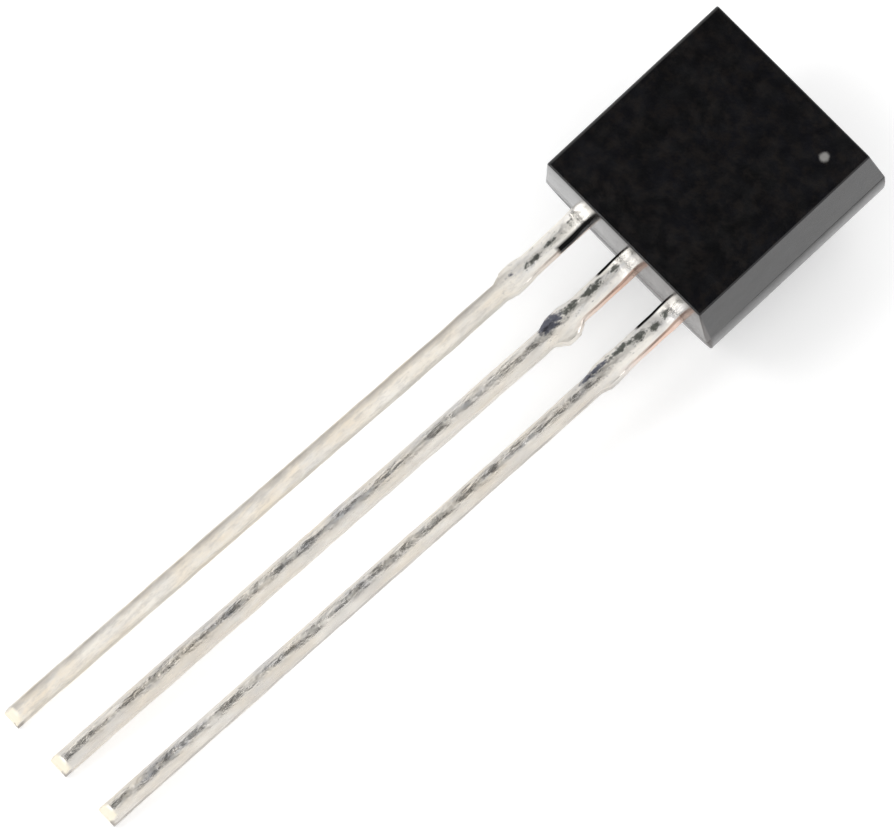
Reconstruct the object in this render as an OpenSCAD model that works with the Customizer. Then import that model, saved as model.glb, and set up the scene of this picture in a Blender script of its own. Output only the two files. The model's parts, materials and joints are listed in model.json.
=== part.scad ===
// Small signal transistor: a moulded three-lead package with its leadframe, chip and
// bond wires. Millimetres and degrees.
//
// The pieces are drawn in the package's own frame: +X runs across the leads from the
// first to the third, +Y runs from the leads to the top, +Z points out of the flat face,
// and Z = 0 is the plane where the two mould halves meet. at_rest() then lays the
// finished transistor down, flat face up, on the crown of its round back and the tips of
// its leads, with the origin at the bottom centre.

/* [Body] */
// Width across the parting line
body_w = 4.41; // [4.3:0.01:4.7]
// Height at the parting line, from the lead end to the top
body_h = 4.57; // [4.3:0.01:4.7]
// Depth of the flat half, from the parting line to the flat face
front_t = 1.15; // [1.1:0.01:1.4]
// Straight side of the round half, before the arc starts
side_land = 0.2; // [0.05:0.05:0.4]
// Draft of the flat half's two sides
side_draft = 6.7; // [3:0.1:9]
// Draft of the two ends, away from the parting line both ways
end_draft = 5.7; // [3:0.1:8]
// Diameter of the ejector pin's mark on the round back
ejector_d = 1.5; // [1:0.1:1.6]
// Depth of the ejector pin's mark below the crown of the back
ejector_depth = 0.18; // [0.15:0.01:0.3]

/* [Leads] */
// Distance between the centres of neighbouring leads
lead_pitch = 1.27; // [1.22:0.01:1.32]
// Length of the leads outside the body
lead_len = 14.13; // [12.7:0.01:14.5]
// Thickness of the strip that the leads are stamped from
lead_t = 0.38; // [0.36:0.01:0.51]
// Width of a lead beyond the dam bar
lead_w = 0.38; // [0.36:0.01:0.44]
// Width of a lead between the body and the dam bar
root_w = 0.46; // [0.42:0.01:0.5]
// Distance from the body to the trimmed dam bar
dam_dist = 1.33; // [1.1:0.01:1.6]
// Width of the trimmed dam bar, measured along the lead
dam_w = 0.67; // [0.4:0.01:0.8]
// Stub of the dam bar left on the -X edge of each lead
dam_stub_left = [0.06, 0.05, 0.02]; // [0:0.01:0.2]
// Stub of the dam bar left on the +X edge of each lead
dam_stub_right = [0.03, 0.14, 0.03]; // [0:0.01:0.2]
// Length over which each end of a stub slopes down to the lead
dam_slope = 0.17; // [0.05:0.01:0.3]
// Angle by which the leads lean towards -X beyond the dam bar
lead_lean = 1.7; // [0:0.05:3]
// Angle by which each outer lead spreads away from the middle one
lead_splay = 0.25; // [0:0.05:1]
// Slope that the cutter leaves on the front edge of each tip
tip_cut = 0.14; // [0.05:0.01:0.25]

/* [Leadframe inside the body] */
// Height of the bonding posts' lower edge above the body's lead end
post_y = 1.05; // [0.9:0.05:1.2]
// Width of the base lead's bonding post
base_post_w = 0.85; // [0.7:0.05:1]
// Width of the emitter lead's bonding post
emitter_post_w = 0.75; // [0.7:0.05:0.85]
// Height of the emitter lead's bonding post
emitter_post_h = 1.7; // [1.5:0.05:1.9]
// Height of the chip paddle's lower edge above the body's lead end
paddle_y = 2.05; // [1.9:0.05:2.2]
// Width of the chip paddle
paddle_w = 2.2; // [2:0.05:2.3]
// Height of the chip paddle
paddle_h = 1.65; // [1.5:0.05:1.8]
// Corner radius of the posts and the paddle
pad_r = 0.12; // [0.05:0.01:0.2]
// Gap between neighbouring pieces of the leadframe
frame_gap = 0.25; // [0.15:0.05:0.35]
// Radius of the half-round notches that lock each lead into the body
lock_r = 0.09; // [0.05:0.01:0.12]
// Height of the locking notches above the body's lead end
lock_y = 0.5; // [0.3:0.05:0.7]

/* [Chip and bond wires] */
// Side of the square chip
die_w = 0.46; // [0.35:0.01:0.6]
// Thickness of the chip
die_t = 0.2; // [0.15:0.01:0.25]
// Thickness of the bonding layer under the chip
attach_t = 0.025; // [0.02:0.005:0.04]
// How far the bonding layer shows round the chip
attach_rim = 0.04; // [0.02:0.01:0.08]
// Distance from the paddle's -X edge to the centre of the chip
die_x_in = 0.8; // [0.6:0.05:1]
// Distance from the paddle's lower edge to the centre of the chip
die_y_in = 0.8; // [0.6:0.05:1]
// Distance of each bond from the centre of the chip
bond_off = 0.11; // [0.06:0.01:0.14]
// Diameter of the bond wires
wire_d = 0.05; // [0.03:0.005:0.06]
// Diameter of the ball at the chip and the foot at the post
ball_d = 0.11; // [0.08:0.01:0.13]
// Height of the wire loops above the line between their two ends
loop_h = 0.28; // [0.2:0.02:0.4]

/* [Hidden] */
$fn = 96;

// Cutting tools and outlines that are trimmed later run past their work by this much
over = 1;

// The round back is tangent to the straight sides
back_r = body_w / 2;
// Parting line to the crown of the back
back_t = side_land + back_r;
// How far each end has sloped in, at the flat face and at the crown
front_in = front_t * tan(end_draft);
back_in = back_t * tan(end_draft);
// Width of the flat face
face_w = body_w - 2 * front_t * tan(side_draft);

// Where the leads leave the trimmed dam bar and start to lean
lean_y = -dam_dist - dam_w;

// Centres and edges of the leadframe's inner pieces
lead_x = [-lead_pitch, 0, lead_pitch];
paddle_right = lead_pitch + root_w / 2;
paddle_left = paddle_right - paddle_w;
emitter_post_right = paddle_left - frame_gap;
base_post_h = paddle_y - frame_gap - post_y;

// Chip, and the two ends of each bond wire
die_pos = [paddle_left + die_x_in, paddle_y + die_y_in, attach_t];
die_top = attach_t + die_t;
emitter_bond = die_pos + [-bond_off, bond_off, die_t];
base_bond = die_pos + [bond_off, -bond_off, die_t];
emitter_foot = [emitter_post_right - emitter_post_w / 2, post_y + 0.8 * emitter_post_h, 0];
base_foot = [0, post_y + base_post_h / 2, 0];

// Lying down: the tilt that brings the crown's lead end and the lead tips level
rest_tilt = atan2(back_t - lead_t, lead_len + back_in);
rest_rise = back_t * cos(rest_tilt) - back_in * sin(rest_tilt);
rest_low_y = tip_cut * sin(rest_tilt) - lead_len * cos(rest_tilt);
rest_high_y = max(body_h * cos(rest_tilt),
                  (body_h - back_in) * cos(rest_tilt) + back_t * sin(rest_tilt));

// Lays the transistor down with the origin at its bottom centre
module at_rest() {
    translate([0, -(rest_low_y + rest_high_y) / 2, rest_rise])
        rotate([rest_tilt, 0, 0])
            children();
}

// Extrudes an outline drawn in X and Z along the package's height
module along_y(from, to) {
    translate([0, to, 0])
        rotate([90, 0, 0])
            linear_extrude(to - from)
                children();
}

// Extrudes an outline drawn in Y and Z across the package's width
module across_x(width) {
    translate([-width / 2, 0, 0])
        rotate([90, 0, 90])
            linear_extrude(width)
                children();
}

// ---- Body ----

// Cross-section: drafted flat half, straight lands and round back
module body_section() {
    polygon([
        [-face_w / 2, front_t],
        [-body_w / 2, 0],
        [-body_w / 2, -side_land],
        [body_w / 2, -side_land],
        [body_w / 2, 0],
        [face_w / 2, front_t]
    ]);
    intersection() {
        translate([0, -side_land])
            circle(back_r);
        translate([-back_r, -back_t])
            square([2 * back_r, back_r]);
    }
}

// Side view: both ends slope in from the parting line
module body_side() {
    polygon([
        [0, 0],
        [front_in, front_t],
        [body_h - front_in, front_t],
        [body_h, 0],
        [body_h - back_in, -back_t],
        [back_in, -back_t]
    ]);
}

module ejector_mark() {
    translate([0, body_h / 2, -back_t - over])
        cylinder(h = over + ejector_depth, d = ejector_d);
}

module body_form() {
    difference() {
        intersection() {
            along_y(-over, body_h + over)
                body_section();
            across_x(body_w + 2 * over)
                body_side();
        }
        ejector_mark();
    }
}

// ---- Leadframe ----

// Lead number i, from its tip up to the height top_y inside the body
module lead_outline(i, top_y) {
    lean = lead_lean - (i - 1) * lead_splay;
    tip_x = lead_x[i] - (lean_y + lead_len) * tan(lean);
    left = lead_x[i] - root_w / 2;
    right = lead_x[i] + root_w / 2;
    polygon([
        [left, top_y],
        [left, -dam_dist],
        [left - dam_stub_left[i], -dam_dist - dam_slope],
        [left - dam_stub_left[i], lean_y + dam_slope],
        [lead_x[i] - lead_w / 2, lean_y],
        [tip_x - lead_w / 2, -lead_len],
        [tip_x + lead_w / 2, -lead_len],
        [lead_x[i] + lead_w / 2, lean_y],
        [right + dam_stub_right[i], lean_y + dam_slope],
        [right + dam_stub_right[i], -dam_dist - dam_slope],
        [right, -dam_dist],
        [right, top_y]
    ]);
}

// Half-round notches that hold the lead in the moulding
module lock_notches(i) {
    for (side = [-1, 1])
        translate([lead_x[i] + side * root_w / 2, lock_y])
            circle(lock_r);
}

// Plate with round corners, its lower left corner at the origin
module rounded_plate(w, h) {
    translate([pad_r, 0])
        square([w - 2 * pad_r, h]);
    translate([0, pad_r])
        square([w, h - 2 * pad_r]);
    for (x = [pad_r, w - pad_r], y = [pad_r, h - pad_r])
        translate([x, y])
            circle(pad_r);
}

// Stamps a lead and its inner end out of the strip and slopes its cut tip
module stamped_lead(i, top_y) {
    difference() {
        translate([0, 0, -lead_t])
            linear_extrude(lead_t)
                difference() {
                    union() {
                        lead_outline(i, top_y);
                        children();
                    }
                    lock_notches(i);
                }
        across_x(4 * lead_pitch)
            polygon([
                [-lead_len, -tip_cut],
                [-lead_len + tip_cut, 0],
                [-lead_len + tip_cut, over],
                [-lead_len - over, over],
                [-lead_len - over, -tip_cut]
            ]);
    }
}

module emitter_shape() {
    stamped_lead(0, post_y + pad_r)
        translate([emitter_post_right - emitter_post_w, post_y])
            rounded_plate(emitter_post_w, emitter_post_h);
}

module base_shape() {
    stamped_lead(1, post_y + pad_r)
        translate([-base_post_w / 2, post_y])
            rounded_plate(base_post_w, base_post_h);
}

module collector_shape() {
    stamped_lead(2, paddle_y + paddle_h - pad_r)
        translate([paddle_left, paddle_y])
            rounded_plate(paddle_w, paddle_h);
}

// ---- Chip and bond wires ----

module die_shape() {
    translate(die_pos - [die_w / 2, die_w / 2, 0])
        cube([die_w, die_w, die_t]);
}

module attach_shape() {
    side = die_w + 2 * attach_rim;
    translate([die_pos[0] - side / 2, die_pos[1] - side / 2, 0])
        cube([side, side, attach_t]);
}

// Wire loop between two bonds: it leaves the first upwards and meets the second from
// above, so that both of its ends lie flat on what they are bonded to
wire_sides = 8;
wire_steps = [0, 7, 12, 24, 42, 60, 80, 100, 120, 140, 157, 169, 175, 180];
function wire_radius(a) = (a < 8 || a > 174 ? ball_d : wire_d) / 2;
function wire_height(p, q, a) =
    p[2] * (1 + cos(a)) / 2 + q[2] * (1 - cos(a)) / 2 + loop_h * sin(a);
function wire_ring(p, q, a) =
    let (
        span = norm([q[0] - p[0], q[1] - p[1]]),
        u = [q[0] - p[0], q[1] - p[1], 0] / span,
        side = [-u[1], u[0], 0],
        run = span * sin(a) / 2,
        climb = (q[2] - p[2]) * sin(a) / 2 + loop_h * cos(a),
        normal = (climb * u - [0, 0, run]) / norm([run, climb]),
        centre = [p[0], p[1], 0] + u * span * (1 - cos(a)) / 2 + [0, 0, wire_height(p, q, a)]
    )
    [for (k = [0 : wire_sides - 1])
        let (turn = 360 * k / wire_sides)
            centre + wire_radius(a) * (cos(turn) * side + sin(turn) * normal)];

module bond_wire(p, q) {
    rings = len(wire_steps);
    points = [for (a = wire_steps) each wire_ring(p, q, a)];
    walls = [for (r = [0 : rings - 2], k = [0 : wire_sides - 1])
        let (
            here = r * wire_sides + k,
            next = r * wire_sides + (k + 1) % wire_sides
        )
        each [
            [here, next, next + wire_sides],
            [here, next + wire_sides, here + wire_sides]
        ]];
    start = [for (k = [0 : wire_sides - 1]) wire_sides - 1 - k];
    end = [for (k = [0 : wire_sides - 1]) (rings - 1) * wire_sides + k];
    polyhedron(points, concat([start, end], walls));
}

module emitter_wire_shape() {
    bond_wire(emitter_bond, emitter_foot);
}

module base_wire_shape() {
    bond_wire(base_bond, base_foot);
}

// ---- Nodes ----

// The compound fills every space round the leadframe, the chip and the wires
module moulded_body() {
    color([0.09, 0.09, 0.1])
        at_rest()
            difference() {
                body_form();
                emitter_shape();
                base_shape();
                collector_shape();
                die_shape();
                attach_shape();
                emitter_wire_shape();
                base_wire_shape();
            }
}

module emitter_lead() {
    color([0.8, 0.79, 0.76])
        at_rest()
            emitter_shape();
}

module base_lead() {
    color([0.8, 0.79, 0.76])
        at_rest()
            base_shape();
}

module collector_lead() {
    color([0.8, 0.79, 0.76])
        at_rest()
            collector_shape();
}

module silicon_die() {
    color([0.35, 0.37, 0.42])
        at_rest()
            die_shape();
}

module die_attach() {
    color([0.7, 0.66, 0.55])
        at_rest()
            attach_shape();
}

module emitter_wire() {
    color([0.85, 0.65, 0.2])
        at_rest()
            emitter_wire_shape();
}

module base_wire() {
    color([0.85, 0.65, 0.2])
        at_rest()
            base_wire_shape();
}

moulded_body();
emitter_lead();
base_lead();
collector_lead();
silicon_die();
die_attach();
emitter_wire();
base_wire();
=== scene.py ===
"""Looks of a small signal transistor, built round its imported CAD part.

The pieces are modelled in the package's own frame, in millimetres: +X runs across the leads
from the first to the third, +Y from the leads to the top, +Z out of the flat face, and Z = 0
is the plane where the two mould halves meet. Lying then puts each finished mesh where the
part lies, in metres. A Span is a pair of places or values, and what changes between them
changes from the first to the second.
"""

from __future__ import annotations

import json
import logging
import math
from collections.abc import Callable, Iterable, Sequence
from dataclasses import dataclass, field
from enum import Enum
from typing import Any

import bmesh
import bpy
from mathutils import Matrix, Vector, noise

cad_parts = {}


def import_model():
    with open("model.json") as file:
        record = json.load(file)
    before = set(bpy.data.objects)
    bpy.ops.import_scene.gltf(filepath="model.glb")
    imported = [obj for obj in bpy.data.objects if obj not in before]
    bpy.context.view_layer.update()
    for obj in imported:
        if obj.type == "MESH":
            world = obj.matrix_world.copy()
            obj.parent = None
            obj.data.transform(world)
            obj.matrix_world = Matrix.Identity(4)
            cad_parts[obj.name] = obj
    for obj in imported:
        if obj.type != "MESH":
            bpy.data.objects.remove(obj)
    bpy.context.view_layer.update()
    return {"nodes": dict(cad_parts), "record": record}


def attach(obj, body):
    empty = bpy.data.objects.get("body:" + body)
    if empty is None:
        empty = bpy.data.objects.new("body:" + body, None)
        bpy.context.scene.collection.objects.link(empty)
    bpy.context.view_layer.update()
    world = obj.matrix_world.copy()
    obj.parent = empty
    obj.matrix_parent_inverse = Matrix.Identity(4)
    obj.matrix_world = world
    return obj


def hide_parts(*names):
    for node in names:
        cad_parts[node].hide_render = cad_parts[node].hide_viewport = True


LOG = logging.getLogger("transistor")
BODY = "root"
TINY = 1e-5
SHARP_ANGLE = 0.5

# Shares of a face's normal that lie along an axis.
MOSTLY = 0.9
NEARLY_ALL = 0.99

Colour = tuple[float, float, float]
Point = tuple[float, float, float]
Span = tuple[float, float]
Outline = list[tuple[float, float]]

EVEN: Point = (1.0, 1.0, 1.0)
DRAWN_OUT: Point = (1.0, 0.32, 1.0)


class Slot(Enum):
    """The record's material slots of the pieces that are modelled here."""

    MOULDING = "moulding_compound"
    TIN = "tinned_copper"


class Polarity(Enum):
    """Which terminal a lead is, in the order of the leads."""

    EMITTER = 0
    BASE = 1
    COLLECTOR = 2


class Stain(Enum):
    """What changes over a lead's tin, painted shade too, each an attribute of its mesh."""

    # Edge wear, and painted shade on the edges and on the calm front.
    WEAR_AND_SHADE = "edge_wear_and_shade"
    CUT = "cut_end"
    COPPER = "bare_copper"
    # Painted shade: black on a side near the body, where it reflects the shadow under the body,
    # and a thin painted shadow along the bare copper.
    PAINTED_SHADE = "painted_root_shade"
    SMEAR = "smeared"
    MATTE = "matte"
    CALM = "calm"


def ramp(value: float, start: float, end: float) -> float:
    """How far a value has come from start to end, kept between 0 and 1."""
    return min(1.0, max(0.0, (value - start) / (end - start)))


# ---- Where the package lies ----


@dataclass(frozen=True)
class Lying:
    """Where the package's own axes are in the row frame."""

    origin: Vector
    tilt: float

    @classmethod
    def from_record(cls, record: dict[str, Any], lead_thickness: float) -> Lying:
        """Finds the package's axes from the mount at the middle lead's root.

        Args:
            record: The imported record.
            lead_thickness: Thickness of the leads in millimetres.

        Returns:
            The place of the package's origin in metres and its tilt about X.
        """
        root = next(m for m in record["mounts"] if m["name"] == "leads")
        outward = Vector(root["axis"])
        tilt = math.atan2(-outward.z, -outward.y)
        out_of_face = Vector((0.0, -math.sin(tilt), math.cos(tilt)))
        origin = Vector(root["pos_m"]) + out_of_face * lead_thickness / 2000
        return cls(origin, tilt)

    def matrix(self) -> Matrix:
        """The step from package millimetres to row frame metres."""
        return (
            Matrix.Translation(self.origin)
            @ Matrix.Rotation(self.tilt, 4, "X")
            @ Matrix.Scale(0.001, 4)
        )

    def mapping(self) -> tuple[Vector, Vector, Vector]:
        """Location, rotation and scale that lead from row frame metres to package millimetres."""
        back = Matrix.Rotation(-self.tilt, 4, "X")
        return -(back @ self.origin) * 1000, Vector((-self.tilt, 0, 0)), Vector((1000,) * 3)


# ---- Patterns and nodes ----


@dataclass(frozen=True)
class Pattern:
    """Fractal noise on the package's coordinates, each axis scaled by its stretch."""

    scale: float
    detail: float
    roughness: float
    stretch: Point = EVEN


@dataclass(frozen=True)
class Patches:
    """Uneven patches: their scale, the level they start at, their softness and stretch."""

    scale: float
    level: float
    softness: float
    stretch: Point = EVEN


@dataclass(frozen=True)
class Grain:
    """Fine grains: their scale, the share of the pits and the depth in millimetres."""

    scale: float
    pits: float
    depth: float


class Wiring:
    """Short calls that add and join the nodes of a material, a group or the world."""

    def __init__(self, tree: bpy.types.NodeTree) -> None:
        """Works on one node tree."""
        self.tree = tree

    def set(self, socket: bpy.types.NodeSocket, value: Any) -> None:
        """Links a socket to another, or gives it a constant value.

        Args:
            socket: The input.
            value: The socket that feeds it, or its value.
        """
        if isinstance(value, bpy.types.NodeSocket):
            self.tree.links.new(value, socket)
        else:
            socket.default_value = value

    def node(self, kind: str, inputs: dict[Any, Any] | None = None, **settings: Any) -> Any:
        """Adds a node.

        Args:
            kind: The node's type name without its prefix ShaderNode.
            inputs: Values or sockets for its inputs, by name or by number.
            settings: The node's own properties.

        Returns:
            The new node.
        """
        made = self.tree.nodes.new("ShaderNode" + kind)
        for name, value in settings.items():
            setattr(made, name, value)
        for key, value in (inputs or {}).items():
            self.set(made.inputs[key], value)
        return made

    def attribute(self, name: str) -> bpy.types.NodeSocket:
        """A value that the mesh carries at its points."""
        return self.node("Attribute", attribute_name=name).outputs["Fac"]

    def maths(self, operation: str, *values: Any) -> bpy.types.NodeSocket:
        """The result of one arithmetic operation.

        Args:
            operation: The operation's name.
            values: The numbers or sockets that it takes, in order.

        Returns:
            The socket that gives the result.
        """
        made = self.node("Math", operation=operation)
        for socket, value in zip(made.inputs, values):
            self.set(socket, value)
        return made.outputs[0]

    def times(self, first: Any, second: Any) -> bpy.types.NodeSocket:
        """The product of two values."""
        return self.maths("MULTIPLY", first, second)

    def blend(self, factor: Any, low: Any, high: Any) -> bpy.types.NodeSocket:
        """The colour between low and high at a factor."""
        return self.node("Mix", {0: factor, 6: low, 7: high}, data_type="RGBA").outputs[2]

    def spread(
        self, value: Any, low: float, high: float, to_low: float = 0.0, to_high: float = 1.0
    ) -> bpy.types.NodeSocket:
        """Moves a value smoothly from one range to another.

        Args:
            value: The value, whose range runs from low to high.
            low: Where the range starts.
            high: Where the range ends, which may be below its start.
            to_low: What the start becomes.
            to_high: What the end becomes.

        Returns:
            The socket that gives the moved value.
        """
        made = self.node("MapRange", interpolation_type="SMOOTHSTEP")
        for socket, item in zip(made.inputs, (value, low, high, to_low, to_high)):
            self.set(socket, item)
        return made.outputs[0]

    def noise(
        self, vector: Any, scale: Any, detail: float, roughness: float
    ) -> bpy.types.NodeSocket:
        """Fractal noise between 0 and 1."""
        inputs = {"Vector": vector, "Scale": scale, "Detail": detail, "Roughness": roughness}
        return self.node("TexNoise", inputs).outputs[0]

    def stretch(self, vector: Any, scale: Point) -> bpy.types.NodeSocket:
        """Scales a vector along each axis.

        Args:
            vector: The vector.
            scale: The scales, which add no node where they are even.

        Returns:
            The socket that gives the scaled vector.
        """
        if scale == EVEN:
            return vector
        return self.node("Mapping", {"Vector": vector, "Scale": scale}).outputs[0]

    def pattern(self, place: Any, pattern: Pattern) -> bpy.types.NodeSocket:
        """The noise of a pattern."""
        vector = self.stretch(place, pattern.stretch)
        return self.noise(vector, pattern.scale, pattern.detail, pattern.roughness)


def grey(level: float) -> tuple[float, float, float, float]:
    """A neutral colour with its alpha."""
    return (level, level, level, 1.0)


def paint(colour: Colour) -> tuple[float, float, float, float]:
    """A colour with its alpha."""
    return (*colour, 1.0)


class Effect:
    """A shader node group that several finishes use, built once."""

    built: dict[str, bpy.types.NodeTree] = {}

    @classmethod
    def get(
        cls,
        name: str,
        inputs: Sequence[tuple[str, str, float]],
        outputs: Sequence[str],
        wire: Callable[[Wiring, Any, Any], None],
    ) -> bpy.types.NodeTree:
        """Returns the group of that name, and builds it when it is first asked for.

        Args:
            name: The group's name.
            inputs: Name, socket type and default of each input.
            outputs: Names of the outputs, all values.
            wire: Adds the group's nodes between its input node and its output node.

        Returns:
            The node group.
        """
        if name not in cls.built:
            tree = bpy.data.node_groups.new(name, "ShaderNodeTree")
            for label, kind, default in inputs:
                made = tree.interface.new_socket(label, in_out="INPUT", socket_type=kind)
                if kind == "NodeSocketFloat":
                    made.default_value = default
            for label in outputs:
                tree.interface.new_socket(label, in_out="OUTPUT", socket_type="NodeSocketFloat")
            entry = tree.nodes.new("NodeGroupInput")
            leave = tree.nodes.new("NodeGroupOutput")
            wire(Wiring(tree), entry, leave)
            cls.built[name] = tree
        return cls.built[name]


def mottle_group() -> bpy.types.NodeTree:
    """Uneven patches with finer ones inside them, as a mask between 0 and 1.

    Returns:
        The node group.
    """
    broad_share, fine_share, finer = 0.72, 0.28, 4.3
    broad_look, fine_look = (4.0, 0.6), (3.0, 0.6)

    def wire(net: Wiring, entry: Any, leave: Any) -> None:
        """Joins two sizes of noise and sharpens the result.

        Args:
            net: The group's wiring.
            entry: Its input node.
            leave: Its output node.
        """
        vector, scale = entry.outputs["Vector"], entry.outputs["Scale"]
        broad = net.times(net.noise(vector, scale, *broad_look), broad_share)
        fine = net.times(net.noise(vector, net.times(scale, finer), *fine_look), fine_share)
        edge = net.times(entry.outputs["Softness"], 0.5)
        low = net.maths("SUBTRACT", entry.outputs["Level"], edge)
        high = net.maths("ADD", entry.outputs["Level"], edge)
        inputs = {0: net.maths("ADD", broad, fine), 1: low, 2: high}
        made = net.node("MapRange", inputs, interpolation_type="SMOOTHSTEP")
        net.set(leave.inputs["Mask"], made.outputs[0])

    inputs = [
        ("Vector", "NodeSocketVector", 0.0),
        ("Scale", "NodeSocketFloat", 2.0),
        ("Level", "NodeSocketFloat", 0.5),
        ("Softness", "NodeSocketFloat", 0.2),
    ]
    return Effect.get("mottle", inputs, ["Mask"], wire)


def grain_group() -> bpy.types.NodeTree:
    """Fine pits and grains, as a height.

    Returns:
        The node group.
    """
    finer, dust_look = 2.1, (4.0, 0.65)

    def wire(net: Wiring, entry: Any, leave: Any) -> None:
        """Joins rounded grains and a finer dust.

        Args:
            net: The group's wiring.
            entry: Its input node.
            leave: Its output node.
        """
        vector, scale = entry.outputs["Vector"], entry.outputs["Scale"]
        cells = net.node("TexVoronoi", {"Vector": vector, "Scale": scale}, feature="SMOOTH_F1")
        dust = net.noise(vector, net.times(scale, finer), *dust_look)
        pits = net.times(cells.outputs["Distance"], entry.outputs["Pits"])
        net.set(leave.inputs["Height"], net.maths("ADD", pits, dust))

    inputs = [
        ("Vector", "NodeSocketVector", 0.0),
        ("Scale", "NodeSocketFloat", 10.0),
        ("Pits", "NodeSocketFloat", 0.5),
    ]
    return Effect.get("grain", inputs, ["Height"], wire)


# ---- Finishes ----


class Finish:
    """A material of its own nodes on the package's coordinates in millimetres."""

    name: str

    def start(self, lying: Lying) -> tuple[bpy.types.Material, Wiring, Any, Any]:
        """Opens a material.

        Args:
            lying: Where the package lies.

        Returns:
            The material, its wiring, its surface shader and the package's coordinates.
        """
        material = bpy.data.materials.new(self.name)
        material.use_nodes = True
        net = Wiring(material.node_tree)
        shader = material.node_tree.nodes["Principled BSDF"]
        place, turn, size = lying.mapping()
        inputs = {
            "Vector": net.node("TexCoord").outputs["Object"],
            "Location": place,
            "Rotation": turn,
            "Scale": size,
        }
        return material, net, shader, net.node("Mapping", inputs).outputs[0]

    def mottle(self, net: Wiring, place: Any, patches: Patches) -> bpy.types.NodeSocket:
        """A mask of uneven patches.

        Args:
            net: The material's wiring.
            place: The package's coordinates.
            patches: The patches' looks.

        Returns:
            The socket that gives the mask, from 0 to 1.
        """
        inputs = {
            "Vector": net.stretch(place, patches.stretch),
            "Scale": patches.scale,
            "Level": patches.level,
            "Softness": patches.softness,
        }
        return net.node("Group", inputs, node_tree=mottle_group()).outputs["Mask"]

    def grain(self, net: Wiring, place: Any, grain: Grain) -> tuple[bpy.types.NodeSocket, float]:
        """A height of fine grains and its depth, as one layer of a surface.

        Args:
            net: The material's wiring.
            place: The package's coordinates.
            grain: The grains' looks.

        Returns:
            The socket that gives the height, and the depth in millimetres.
        """
        inputs = {"Vector": place, "Scale": grain.scale, "Pits": grain.pits}
        made = net.node("Group", inputs, node_tree=grain_group())
        return made.outputs["Height"], grain.depth

    def raise_surface(
        self, net: Wiring, shader: Any, layers: Iterable[tuple[Any, float]]
    ) -> None:
        """Lays heights over each other as bump.

        Args:
            net: The material's wiring.
            shader: The surface shader.
            layers: Each height and the depth in millimetres that one unit of it stands for.
        """
        normal = None
        for height, depth in layers:
            inputs = {"Height": height, "Strength": 1.0, "Distance": depth / 1000}
            if normal is not None:
                inputs["Normal"] = normal
            normal = net.node("Bump", inputs).outputs[0]
        net.set(shader.inputs["Normal"], normal)


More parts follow.
